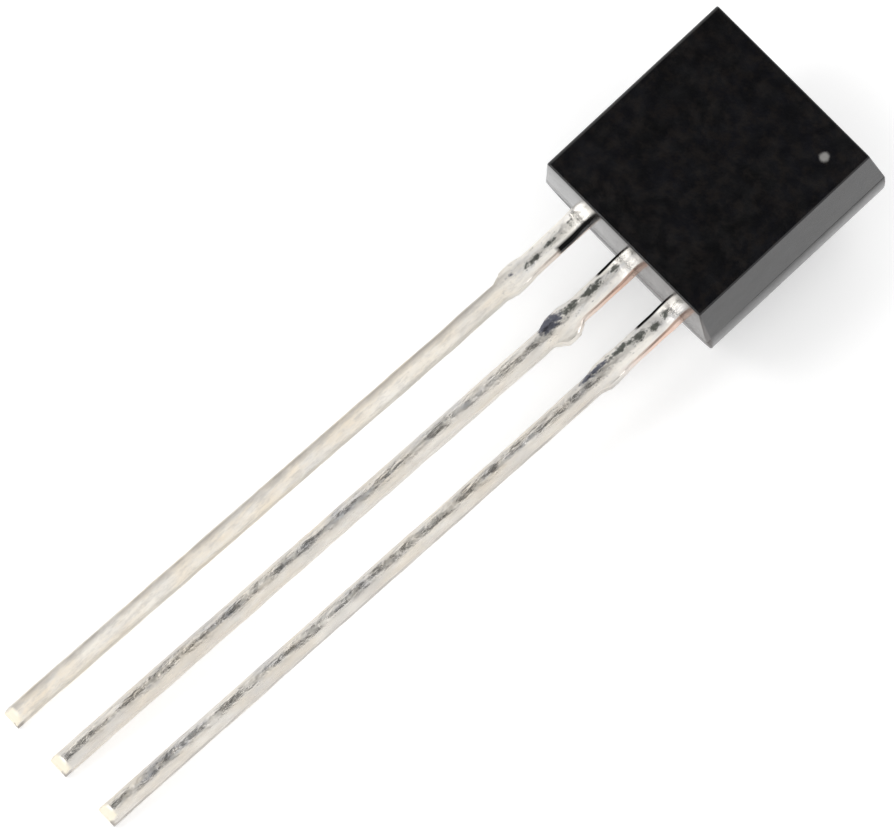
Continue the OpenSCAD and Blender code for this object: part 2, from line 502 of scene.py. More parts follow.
@dataclass(frozen=True)
class MouldingFinish(Finish):
    """Black filled epoxy with a satin mould texture, one small pale dot and painted light on the
    lead end.
    """

    name: str = "black_moulding"
    black: Colour = (0.0022, 0.0022, 0.0024)
    filler: Colour = (0.0085, 0.007, 0.0065)
    haze: Colour = (0.0035, 0.0036, 0.0055)
    # Painted light: the lead end is made warmer and lighter, more so towards its right.
    painted_end_light: Colour = (0.045, 0.034, 0.03)
    dot: Colour = (0.225, 0.22, 0.21)
    specks: Patches = Patches(4.6, 0.54, 0.22)
    clouds: Patches = Patches(1.1, 0.5, 0.35)
    dot_at: Point = (1.47, 3.85, 1.15)
    dot_edge: Span = (0.155, 0.075)
    dot_unevenness: Pattern = Pattern(9.0, 3.0, 0.6)
    dot_wobble: float = 0.05
    end_y: Span = (0.13, 0.09)
    warm_x: Span = (-1.4, 0.7)
    back_z: Span = (-0.01, -0.04)
    satin: Pattern = Pattern(3.2, 4.0, 0.6)
    satin_range: Span = (0.3, 0.7)
    roughness: Span = (0.17, 0.24)
    duller: float = 0.18
    ior: float = 1.52
    end_skin: float = 0.62
    warm_skin_loss: float = 0.3
    round_skin: float = 0.4
    skin_roughness: float = 0.1
    pits: Grain = Grain(22.0, 0.4, 0.0014)
    waves: Pattern = Pattern(2.4, 3.0, 0.5)
    wave_depth: float = 0.004

    def dot_mask(self, net: Wiring, place: Any) -> bpy.types.NodeSocket:
        """The round mark on the flat face, with a slightly uneven edge.

        Args:
            net: The material's wiring.
            place: The package's coordinates.

        Returns:
            The socket that gives the mask, from 0 to 1.
        """
        away = net.node("VectorMath", {0: place, 1: self.dot_at}, operation="DISTANCE").outputs[1]
        wobble = net.times(net.pattern(place, self.dot_unevenness), self.dot_wobble)
        return net.spread(net.maths("ADD", away, wobble), *self.dot_edge)

    def skin(self, net: Wiring, end: Any, warm: Any, back: Any) -> bpy.types.NodeSocket:
        """How glossy the moulding's skin is: most at the lead end, some on the round back.

        Args:
            net: The material's wiring.
            end: The mask of the end where the leads come out.
            warm: The mask of that end's warmer side, where light is painted.
            back: The mask of the round half.

        Returns:
            The socket that gives the weight of the coat.
        """
        at_end = net.maths("SUBTRACT", self.end_skin, net.times(warm, self.warm_skin_loss))
        at_end = net.times(end, net.times(at_end, net.maths("SUBTRACT", 1.0, back)))
        at_round = net.times(back, net.maths("SUBTRACT", 1.0, end))
        return net.maths("ADD", at_end, net.times(at_round, self.round_skin))

    def build(self, lying: Lying) -> bpy.types.Material:
        """Builds the material.

        Args:
            lying: Where the package lies.

        Returns:
            The material.
        """
        material, net, shader, place = self.start(lying)
        along = net.node("SeparateXYZ", {"Vector": place}).outputs
        end = net.spread(along["Y"], *self.end_y)
        warm = net.times(end, net.spread(along["X"], *self.warm_x))
        back = net.spread(along["Z"], *self.back_z)
        dot = self.dot_mask(net, place)
        colour = paint(self.black)
        for amount, over in (
            (self.mottle(net, place, self.clouds), self.haze),
            (self.mottle(net, place, self.specks), self.filler),
            # Painted light on the lead end.
            (warm, self.painted_end_light),
            (dot, self.dot),
        ):
            colour = net.blend(amount, colour, paint(over))
        net.set(shader.inputs["Base Color"], colour)
        satin = net.spread(net.pattern(place, self.satin), *self.satin_range, *self.roughness)
        dulled = net.times(net.maths("MAXIMUM", dot, back), self.duller)
        net.set(shader.inputs["Roughness"], net.maths("ADD", satin, dulled))
        shader.inputs["IOR"].default_value = self.ior
        net.set(shader.inputs["Coat Weight"], self.skin(net, end, warm, back))
        shader.inputs["Coat Roughness"].default_value = self.skin_roughness
        waves = (net.pattern(place, self.waves), self.wave_depth)
        self.raise_surface(net, shader, [self.grain(net, place, self.pits), waves])
        return material


@dataclass(frozen=True)
class TinFinish(Finish):
    """Bright dipped tin over copper alloy, wavy and mottled, with copper at the trimmed edges and
    painted shade at edges and roots.
    """

    name: str = "dipped_tin"
    bright: Colour = (0.96, 0.925, 0.86)
    cream: Colour = (0.92, 0.84, 0.72)
    dull: Colour = (0.67, 0.67, 0.68)
    flecked: Colour = (0.62, 0.59, 0.55)
    # Colour of edge wear and of painted shade.
    wear_and_shade: Colour = (0.36, 0.33, 0.3)
    cut: Colour = (0.95, 0.89, 0.76)
    copper: Colour = (0.86, 0.55, 0.42)
    smear: Colour = (0.14, 0.145, 0.13)
    tarnish: Colour = (0.14, 0.145, 0.175)
    # Painted shade, near black, for the shadow under the body that a side reflects.
    painted_shade: Colour = (0.01, 0.01, 0.01)
    cream_patches: Patches = Patches(1.7, 0.5, 0.3, DRAWN_OUT)
    cream_y: Span = (-1.2, -2.4)
    cream_share: Span = (0.2, 1.0)
    dull_patches: Patches = Patches(2.6, 0.56, 0.3, DRAWN_OUT)
    calm_loss: float = 0.55
    flecks: Patches = Patches(7.0, 0.54, 0.22, (1.3, 0.35, 1.3))
    fleck_share: Span = (0.15, 0.5)
    streaks: Pattern = Pattern(3.0, 3.0, 0.6, (2.0, 0.5, 2.0))
    streak_range: Span = (0.3, 0.6)
    streak_share: Span = (0.55, 1.0)
    speckle: Pattern = Pattern(15.0, 5.0, 0.75, (1.0, 0.6, 1.0))
    smear_edge: Span = (0.76, 0.98)
    tarnish_y: Span = (-1.45, -1.6)
    shine: Pattern = Pattern(5.0, 4.0, 0.65, DRAWN_OUT)
    shine_range: Span = (0.35, 0.7)
    roughness: Span = (0.22, 0.36)
    duller: float = 0.32
    drawing: Pattern = Pattern(16.0, 2.0, 0.5, (1.0, 0.05, 1.0))
    drawing_depth: float = 0.005
    dimples: Pattern = Pattern(5.0, 3.0, 0.55, (1.0, 0.38, 1.0))
    dimple_y: Span = (-0.25, -0.45)
    dimple_share: Span = (1.0, 0.55)
    dimple_depth: float = 0.027
    grains: Grain = Grain(14.0, 0.5, 0.003)

    def colour(
        self, net: Wiring, place: Any, length: Any, stains: dict[Stain, Any]
    ) -> bpy.types.NodeSocket:
        """Lays the tin's colours and its painted shade over each other.

        Args:
            net: The material's wiring.
            place: The package's coordinates.
            length: The coordinate along the leads.
            stains: The mesh's value of each stain.

        Returns:
            The socket that gives the colour.
        """
        cream = net.spread(length, *self.cream_y, *self.cream_share)
        cream = net.times(self.mottle(net, place, self.cream_patches), cream)
        calm = net.maths("MAXIMUM", stains[Stain.MATTE], stains[Stain.CALM])
        lively = net.maths("SUBTRACT", 1.0, net.times(calm, self.calm_loss))
        dull = net.times(self.mottle(net, place, self.dull_patches), lively)
        flecks = net.spread(stains[Stain.MATTE], 0.0, 1.0, *self.fleck_share)
        flecks = net.times(self.mottle(net, place, self.flecks), flecks)
        streaks = net.pattern(place, self.streaks)
        streaks = net.spread(streaks, *self.streak_range, *self.streak_share)
        smeared = net.maths("ADD", stains[Stain.SMEAR], net.pattern(place, self.speckle))
        tarnished = net.spread(length, *self.tarnish_y)
        colour = paint(self.bright)
        for amount, over in (
            (cream, paint(self.cream)),
            (dull, paint(self.dull)),
            (flecks, paint(self.flecked)),
            # Edge wear and painted shade, broken by streaks.
            (net.times(stains[Stain.WEAR_AND_SHADE], streaks), paint(self.wear_and_shade)),
            (stains[Stain.CUT], paint(self.cut)),
            (stains[Stain.COPPER], paint(self.copper)),
            (
                net.spread(smeared, *self.smear_edge),
                net.blend(tarnished, paint(self.smear), paint(self.tarnish)),
            ),
            # Painted shade near the body.
            (stains[Stain.PAINTED_SHADE], paint(self.painted_shade)),
        ):
            colour = net.blend(amount, colour, over)
        return colour

    def dimple(self, net: Wiring, place: Any, length: Any, calm: Any) -> bpy.types.NodeSocket:
        """The height of the tin's dimples, which start outside the body and are low where calm.

        Args:
            net: The material's wiring.
            place: The package's coordinates.
            length: The coordinate along the leads.
            calm: The mesh's value of where the tin is calm.

        Returns:
            The socket that gives the height.
        """
        rippled = net.spread(length, *self.dimple_y)
        rippled = net.times(rippled, net.spread(calm, 0.0, 1.0, *self.dimple_share))
        centred = net.maths("SUBTRACT", net.pattern(place, self.dimples), 0.5)
        return net.times(centred, rippled)

    def build(self, lying: Lying) -> bpy.types.Material:
        """Builds the material.

        Args:
            lying: Where the package lies.

        Returns:
            The material.
        """
        material, net, shader, place = self.start(lying)
        length = net.node("SeparateXYZ", {"Vector": place}).outputs["Y"]
        stains = {stain: net.attribute(stain.value) for stain in Stain}
        net.set(shader.inputs["Base Color"], self.colour(net, place, length, stains))
        shader.inputs["Metallic"].default_value = 1.0
        rough = net.spread(net.pattern(place, self.shine), *self.shine_range, *self.roughness)
        dulled = net.maths("MAXIMUM", stains[Stain.MATTE], stains[Stain.CUT])
        rough = net.maths("ADD", rough, net.times(dulled, self.duller))
        net.set(shader.inputs["Roughness"], rough)
        layers = [
            (net.pattern(place, self.drawing), self.drawing_depth),
            (self.dimple(net, place, length, stains[Stain.CALM]), self.dimple_depth),
            self.grain(net, place, self.grains),
        ]
        self.raise_surface(net, shader, layers)
        return material


@dataclass(frozen=True)
class InnerFinish(Finish):
    """A finish of the small pieces sealed inside the body."""

    name: str
    light: Colour
    dark: Colour
    metallic: float
    roughness: float
    patches: Patches
    grains: Grain
    rougher: float = 0.12

    def build(self, lying: Lying) -> bpy.types.Material:
        """Builds the material.

        Args:
            lying: Where the package lies.

        Returns:
            The material.
        """
        material, net, shader, place = self.start(lying)
        patch = self.mottle(net, place, self.patches)
        net.set(shader.inputs["Base Color"], net.blend(patch, paint(self.light), paint(self.dark)))
        shader.inputs["Metallic"].default_value = self.metallic
        rough = net.spread(patch, 0.0, 1.0, self.roughness, self.roughness + self.rougher)
        net.set(shader.inputs["Roughness"], rough)
        self.raise_surface(net, shader, [self.grain(net, place, self.grains)])
        return material


SILICON = InnerFinish(
    "dark_silicon",
    light=(0.2, 0.22, 0.27),
    dark=(0.13, 0.14, 0.18),
    metallic=0.0,
    roughness=0.12,
    patches=Patches(6.0, 0.5, 0.4),
    grains=Grain(60.0, 0.5, 0.0004),
)
BONDING = InnerFinish(
    "silver_adhesive",
    light=(0.7, 0.67, 0.6),
    dark=(0.52, 0.5, 0.45),
    metallic=1.0,
    roughness=0.45,
    patches=Patches(9.0, 0.5, 0.4),
    grains=Grain(50.0, 0.5, 0.0015),
)
GOLD = InnerFinish(
    "gold_wire",
    light=(1.0, 0.76, 0.34),
    dark=(0.86, 0.6, 0.24),
    metallic=1.0,
    roughness=0.18,
    patches=Patches(8.0, 0.5, 0.4),
    grains=Grain(70.0, 0.5, 0.0004),
)


# ---- Mesh work ----


def slice_off(bm: bmesh.types.BMesh, point: Point, beyond: Point) -> None:
    """Cuts away what lies beyond a plane and closes the cut.

    Args:
        bm: The mesh, which is closed.
        point: A point on the plane.
        beyond: The plane's normal, towards what is cut away.
    """
    everything = bm.verts[:] + bm.edges[:] + bm.faces[:]
    cut = bmesh.ops.bisect_plane(
        bm, geom=everything, dist=TINY, plane_co=point, plane_no=beyond, clear_outer=True
    )
    rim = [e for e in cut["geom_cut"] if isinstance(e, bmesh.types.BMEdge)]
    bmesh.ops.edgeloop_fill(bm, edges=rim)


def score(bm: bmesh.types.BMesh, axis: int, places: Iterable[float]) -> None:
    """Cuts edges into a mesh where planes across an axis meet it.

    Args:
        bm: The mesh.
        axis: The number of the axis.
        places: Where the planes are along it.
    """
    normal = Vector((0, 0, 0))
    normal[axis] = 1.0
    for place in places:
        everything = bm.verts[:] + bm.edges[:] + bm.faces[:]
        bmesh.ops.bisect_plane(
            bm, geom=everything, dist=TINY, plane_co=normal * place, plane_no=normal
        )


def borders(edge: bmesh.types.BMEdge, test: Callable[[bmesh.types.BMFace], bool]) -> bool:
    """Whether exactly one of an edge's faces passes a test."""
    return sum(test(f) for f in edge.link_faces) == 1


def is_sharp(edge: bmesh.types.BMEdge) -> bool:
    """Whether an edge's two faces meet at a clear angle."""
    return edge.calc_face_angle(0) > SHARP_ANGLE


def round_edges(
    bm: bmesh.types.BMesh, edges: list[bmesh.types.BMEdge], radius: float, steps: int
) -> None:
    """Rounds edges and brings the faces' normals up to date.

    Args:
        bm: The mesh.
        edges: The edges that are rounded.
        radius: How far the rounding reaches from each edge.
        steps: How many faces it has across.
    """
    bmesh.ops.bevel(
        bm,
        geom=edges,
        offset=radius,
        segments=steps,
        affect="EDGES",
        profile=0.5,
        material=-1,
        clamp_overlap=True,
    )
    bm.normal_update()


def plate(bm: bmesh.types.BMesh, outline: Outline, low: float, high: float) -> None:
    """Raises a closed outline in X and Y into a plate between two heights.

    Args:
        bm: An empty mesh, which the plate is made in.
        outline: The outline's corners in order.
        low: The plate's underside.
        high: The plate's top.
    """
    corners = [bm.verts.new((x, y, low)) for x, y in outline]
    for here, there in zip(corners, corners[1:] + corners[:1]):
        bm.edges.new((here, there))
    face = bmesh.ops.contextual_create(bm, geom=bm.edges[:])["faces"]
    raised = bmesh.ops.extrude_face_region(bm, geom=face)["geom"]
    verts = [v for v in raised if isinstance(v, bmesh.types.BMVert)]
    bmesh.ops.translate(bm, vec=(0, 0, high - low), verts=verts)
    bmesh.ops.recalc_face_normals(bm, faces=bm.faces)


def finish_mesh(bm: bmesh.types.BMesh, name: str, lying: Lying) -> bpy.types.Object:
    """Puts a finished mesh where the part lies, as an object with smooth faces.

    Args:
        bm: The mesh, in package millimetres; it is freed.
        name: The object's name.
        lying: Where the package lies.

    Returns:
        The object, linked to the scene.
    """
    bmesh.ops.remove_doubles(bm, verts=bm.verts, dist=TINY)
    bmesh.ops.recalc_face_normals(bm, faces=bm.faces)
    bmesh.ops.transform(bm, matrix=lying.matrix(), verts=bm.verts)
    mesh = bpy.data.meshes.new(name)
    bm.to_mesh(mesh)
    bm.free()
    mesh.shade_smooth()
    obj = bpy.data.objects.new(name, mesh)
    bpy.context.scene.collection.objects.link(obj)
    weighted = obj.modifiers.new("even_shading", "WEIGHTED_NORMAL")
    weighted.keep_sharp = True
    weighted.weight = 100
    return obj


# ---- The moulded body ----


@dataclass
class MouldedBody:
    """The moulding: a drafted flat half and a round half that meet at the parting line.

    Attributes:
        width: Width at the parting line, and so the diameter of the round half.
        front: How far the flat face is in front of the parting line.
        land: The straight side behind the parting line, before the round starts.
        left_r: Rounding of the flat face's left edge, which is softer than the others.
        left_strip: How near to the left side that edge is looked for.
        rim_r: Rounding of the ejector pin's mark.
        groove_core: How near to the parting line its groove is deep, as a share of groove_w.
        groove_from: How far from the lead end the groove starts.
        parting_from: How far from there an edge of the parting line has to reach.
        spare: How far the rough form stands past its ends before they are cut.
    """

    width: float = 4.41
    height: float = 4.57
    front: float = 1.15
    land: float = 0.2
    left_draft: float = math.radians(5.5)
    right_draft: float = math.radians(6.7)
    end_draft: float = math.radians(5.7)
    arc_steps: int = 72
    ejector_d: float = 1.5
    ejector_depth: float = 0.18
    ejector_segments: int = 64
    left_r: float = 0.08
    left_steps: int = 6
    left_strip: float = 0.345
    edge_r: float = 0.032
    edge_steps: int = 4
    rim_r: float = 0.02
    rim_steps: int = 2
    groove_w: float = 0.018
    groove_steps: int = 2
    groove_core: float = 0.3
    groove_depth: float = 0.015
    groove_from: float = 0.1
    parting_from: float = 0.3
    spare: float = 1.0

    def section(self, bm: bmesh.types.BMesh) -> list[bmesh.types.BMFace]:
        """The outline seen from the lead end, before the ends get their drafts.

        Args:
            bm: An empty mesh, which the section is drawn in at Y = 0.

        Returns:
            The section's face.
        """
        half = self.width / 2
        first = bm.verts.new((half, 0, -self.land))
        turned = bmesh.ops.spin(
            bm,
            geom=[first],
            cent=(0, 0, -self.land),
            axis=(0, 1, 0),
            angle=math.pi,
            steps=self.arc_steps,
        )
        here = next(v for v in turned["geom_last"] if isinstance(v, bmesh.types.BMVert))
        face_left = self.front * math.tan(self.left_draft) - half
        face_right = half - self.front * math.tan(self.right_draft)
        flat_half = [(-half, 0.0), (face_left, self.front), (face_right, self.front), (half, 0.0)]
        for x, z in flat_half:
            there = bm.verts.new((x, 0, z))
            bm.edges.new((here, there))
            here = there
        bm.edges.new((here, first))
        return bmesh.ops.contextual_create(bm, geom=bm.edges[:])["faces"]

    def form(self) -> bmesh.types.BMesh:
        """Draws the section out and cuts both ends to their drafts.

        Returns:
            The closed form, with sharp edges.
        """
        bm = bmesh.new()
        section = self.section(bm)
        bmesh.ops.translate(bm, vec=(0, -self.spare, 0), verts=bm.verts)
        drawn = bmesh.ops.extrude_face_region(bm, geom=section)["geom"]
        verts = [v for v in drawn if isinstance(v, bmesh.types.BMVert)]
        bmesh.ops.translate(bm, vec=(0, self.height + 2 * self.spare, 0), verts=verts)
        bmesh.ops.recalc_face_normals(bm, faces=bm.faces)
        slope, level = math.sin(self.end_draft), math.cos(self.end_draft)
        for side in (1, -1):
            slice_off(bm, (0, 0, 0), (0, -level, side * slope))
            slice_off(bm, (0, self.height, 0), (0, level, side * slope))
        return bm

    def ejector_pin(self) -> bmesh.types.BMesh:
        """The pin that leaves its round mark in the back.

        Returns:
            The pin's closed mesh.
        """
        bm = bmesh.new()
        end = -self.land - self.width / 2 + self.ejector_depth
        bmesh.ops.create_cone(
            bm,
            cap_ends=True,
            segments=self.ejector_segments,
            radius1=self.ejector_d / 2,
            radius2=self.ejector_d / 2,
            depth=2 * self.spare,
            matrix=Matrix.Translation((0, self.height / 2, end - self.spare)),
        )
        return bm

    def press(self, form: bmesh.types.BMesh, pin: bmesh.types.BMesh) -> bmesh.types.BMesh:
        """Presses the pin's mark into the form.

        Args:
            form: The form; it is freed.
            pin: The pin; it is freed.

        Returns:
            The form with its mark.
        """
        pair = []
        for name, bm in (("form", form), ("pin", pin)):
            mesh = bpy.data.meshes.new(name)
            bm.to_mesh(mesh)
            bm.free()
            pair.append(bpy.data.objects.new(name, mesh))
            bpy.context.scene.collection.objects.link(pair[-1])
        cut = pair[0].modifiers.new("cut", "BOOLEAN")
        cut.operation, cut.solver, cut.object = "DIFFERENCE", "EXACT", pair[1]
        graph = bpy.context.evaluated_depsgraph_get()
        result = bpy.data.meshes.new_from_object(pair[0].evaluated_get(graph))
        bm = bmesh.new()
        bm.from_mesh(result)
        bmesh.ops.remove_doubles(bm, verts=bm.verts, dist=TINY)
        bm.normal_update()
        meshes = [result] + [obj.data for obj in pair]
        for obj in pair:
            bpy.data.objects.remove(obj)
        for mesh in meshes:
            bpy.data.meshes.remove(mesh)
        return bm

    def is_end(self, face: bmesh.types.BMFace) -> bool:
        """Whether a face belongs to the top or to the end where the leads come out."""
        far = abs(face.calc_center_median().y - self.height / 2) > self.height / 3
        return far and abs(face.normal.y) > MOSTLY

    def is_front(self, face: bmesh.types.BMFace) -> bool:
        """Whether a face is the flat face."""
        return face.normal.z > NEARLY_ALL

    def is_left(self, edge: bmesh.types.BMEdge) -> bool:
        """Whether an edge is the flat face's left one."""
        limit = self.left_strip - self.width / 2
        return borders(edge, self.is_front) and all(v.co.x < limit for v in edge.verts)

    def is_outer(self, edge: bmesh.types.BMEdge) -> bool:
        """Whether an edge goes round one of the ends or the flat face."""
        return borders(edge, self.is_end) or (borders(edge, self.is_front) and is_sharp(edge))

    def is_mark(self, edge: bmesh.types.BMEdge) -> bool:
        """Whether an edge belongs to the ejector pin's mark.

        Args:
            edge: The edge.

        Returns:
            Whether it is sharp and within the mark.
        """
        reach = (self.ejector_d + self.rim_r) / 2
        middle = self.height / 2
        return is_sharp(edge) and all(
            math.hypot(v.co.x, v.co.y - middle) < reach for v in edge.verts
        )

    def is_parting(self, edge: bmesh.types.BMEdge) -> bool:
        """Whether an edge is the parting line's, apart from the end with the leads."""
        level = all(abs(v.co.z) < TINY * 10 for v in edge.verts)
        return level and max(v.co.y for v in edge.verts) > self.parting_from

    def soften(self, bm: bmesh.types.BMesh) -> None:
        """Rounds the edges as the mould does, and cuts the groove at the parting line.

        Args:
            bm: The pressed form, which is changed.
        """
        for test, radius, steps in (
            (self.is_left, self.left_r, self.left_steps),
            (self.is_outer, self.edge_r, self.edge_steps),
            (self.is_mark, self.rim_r, self.rim_steps),
            (self.is_parting, self.groove_w, self.groove_steps),
        ):
            round_edges(bm, [e for e in bm.edges if test(e)], radius, steps)
        near = self.groove_core * self.groove_w
        middle = Vector((0, self.height / 2, 0))
        for v in bm.verts:
            if abs(v.co.z) < near and v.co.y > self.groove_from:
                inward = (middle - v.co).normalized()
                reach = max(abs(inward.x), abs(inward.y))
                v.co += inward * self.groove_depth / reach

    def build(self, lying: Lying, finish: MouldingFinish) -> None:
        """Builds and dresses the body, and puts it in the place of its CAD node.

        Args:
            lying: Where the package lies.
            finish: The moulding's finish.
        """
        bm = self.press(self.form(), self.ejector_pin())
        self.soften(bm)
        shell = finish_mesh(bm, "moulded_shell", lying)
        shell.data.materials.append(finish.build(lying))
        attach(shell, BODY)
        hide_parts("moulded_body")
        LOG.info("%s: %d faces", shell.name, len(shell.data.polygons))


# ---- The leads ----


@dataclass(frozen=True)
class Post:
    """The broad end of a lead inside the body, which holds a wire or the chip."""

    left: float
    right: float
    low: float
    high: float


@dataclass(frozen=True)
class Smear:
    """A patch of dark flux on a lead: its middle and its half sizes."""

    x: float
    y: float
    half_x: float
    half_y: float

    def far(self, co: Vector) -> float:
        """The square of the distance from the middle, which is 1 at the patch's edge."""
        return ((co.x - self.x) / self.half_x) ** 2 + ((co.y - self.y) / self.half_y) ** 2


@dataclass(kw_only=True)
class Weathering:
    """What has changed on one lead's tin, and the shade that is painted on it.

    Places that end in _y are distances along the straight lead, 0 at the body and negative
    outside it; those in _x are distances from its centre line, and those in _depth are
    distances behind its front.

    Attributes:
        wear: Wear and painted shade of the left edge and of the right side.
        reach: Where across the left half the wear starts, as a share of the half width.
        reach_end: Where it is full.
        rounded: Where the left edge's rounding starts, which gets less wear and painted shade.
        side: Where the right side starts.
        shade: Painted shade where the tin is calm.
        cut_slack: How far the bright cut reaches past the slanted plane.
        bare: How much copper shows along the right edge near the body.
        ragged: The copper's level and how unevenly it varies.
        line: A thin painted shadow along the bare copper near the body.
        painted_shade: Where the side's painted shade starts and ends, as distances from the body.
        painted_shade_x: How far out the painted shade lies on the left and on the right.
        dust: A thin sprinkling of flux near the body.
        soil: How dense the smears are in their middle, and soil_fade how fast that falls.
    """

    # Edge wear, with painted shade on the edges and where the tin is calm.
    wear: tuple[float, float] = (0.35, 0.5)
    wear_and_shade_y: Span = (-1.3, -2.1)
    reach: float = 0.6
    reach_end: float = 0.75
    rounded: float = 0.84
    rounded_loss: float = 0.4
    side: float = 0.8
    # Painted shade where the tin is calm.
    shade: float = 0.3
    calm_x: Span = (0.04, 0.24)
    cut_slack: float = 0.02
    burr_length: float = 0.13
    burr_x: float = 0.08
    burr_depth: float = 0.12
    bare: float = 0.0
    bare_x: float = 0.19
    bare_y: Span = (-1.6, -0.6)
    bare_end: float = 0.05
    ragged: tuple[float, float] = (0.85, 0.5)
    ragged_scale: float = 4.0
    ragged_seat: tuple[float, float] = (3.0, 1.0)
    # A thin painted shadow along the bare copper.
    line: float = 0.45
    line_x: float = 0.2
    line_depth: float = 0.08
    # Painted shade on one side near the body, where that side reflects the shadow under the body.
    painted_shade_on_right: bool = False
    painted_shade: Span = (-0.2, 0.7)
    painted_shade_x: tuple[float, float] = (0.18, 0.15)
    painted_shade_depth: float = 0.25
    matte: float = 0.0
    root_matte: float = 0.4
    matte_y: Span = (-0.1, -0.25)
    dust: float = 0.2
    dust_x: float = 0.15
    dust_y: Span = (-2.1, -0.35)
    soil: float = 0.53
    soil_fade: float = 0.3
    smears: tuple[Smear, ...] = ()

    def wear_and_shade(self, co: Vector, half_w: float, half_t: float) -> float:
        """How worn the edges are at a point, with the shade painted on them.

        Args:
            co: The point.
            half_w: Half of the lead's width there.
            half_t: Half of its thickness.

        Returns:
            The wear and painted shade, from 0 to 1.
        """
        left = ramp(-co.x / half_w, self.reach, self.reach_end)
        left *= self.rounded_loss if -co.x > self.rounded * half_w else 1.0
        right = max(0.0, 1.0 - abs(co.z / half_t + 1)) if co.x > self.side * half_w else 0.0
        return ramp(co.y, *self.wear_and_shade_y) * (self.wear[0] * left + self.wear[1] * right)

    def tip(self, co: Vector, length: float, slant: float) -> tuple[float, float]:
        """How the end is cut at a point.

        Args:
            co: The point.
            length: The lead's length.
            slant: How much the slanted cut takes off the front.

        Returns:
            The amounts of bright cut and of dark burr, each 0 or 1.
        """
        tip = length + co.y
        if tip < self.burr_length and co.x > self.burr_x and co.z < -self.burr_depth:
            return 0.0, 1.0
        cut = tip < self.cut_slack or tip - co.z < slant + self.cut_slack
        return float(cut), 0.0

    def root(self, co: Vector) -> tuple[float, float]:
        """How the tin is broken near the body, and where shade is painted there.

        Args:
            co: The point.

        Returns:
            The amounts of bare copper and of painted shade, from 0 to 1.
        """
        if not self.bare_y[0] < co.y < self.bare_end:
            return 0.0, 0.0
        near = ramp(co.y, *self.bare_y)
        level, share = self.ragged
        x, z = self.ragged_seat
        ragged = level + share * noise.noise(Vector((x, co.y * self.ragged_scale, z)))
        copper = self.bare * near * ragged if co.x > self.bare_x else 0.0
        # Painted shade on one side near the body, for the shadow under the body that it reflects.
        left_x, right_x = self.painted_shade_x
        beside = co.x > right_x if self.painted_shade_on_right else co.x < -left_x
        inner, outer = self.painted_shade
        in_painted_shade = beside and co.z > -self.painted_shade_depth and -outer < co.y < -inner
        painted_shade = float(in_painted_shade)
        # A thin painted shadow along the bare copper.
        if self.bare and co.x > self.line_x and co.z > -self.line_depth:
            painted_shade = max(painted_shade, self.line * near)
        return copper, painted_shade

    def smeared(self, co: Vector) -> float:
        """How much dark flux lies on the tin at a point.

        Args:
            co: The point.

        Returns:
            The amount, from 0 to 1.
        """
        low, high = self.dust_y
        dust = self.dust if low < co.y < high and co.x < self.dust_x else 0.0
        return max([dust] + [self.soil - self.soil_fade * patch.far(co) for patch in self.smears])


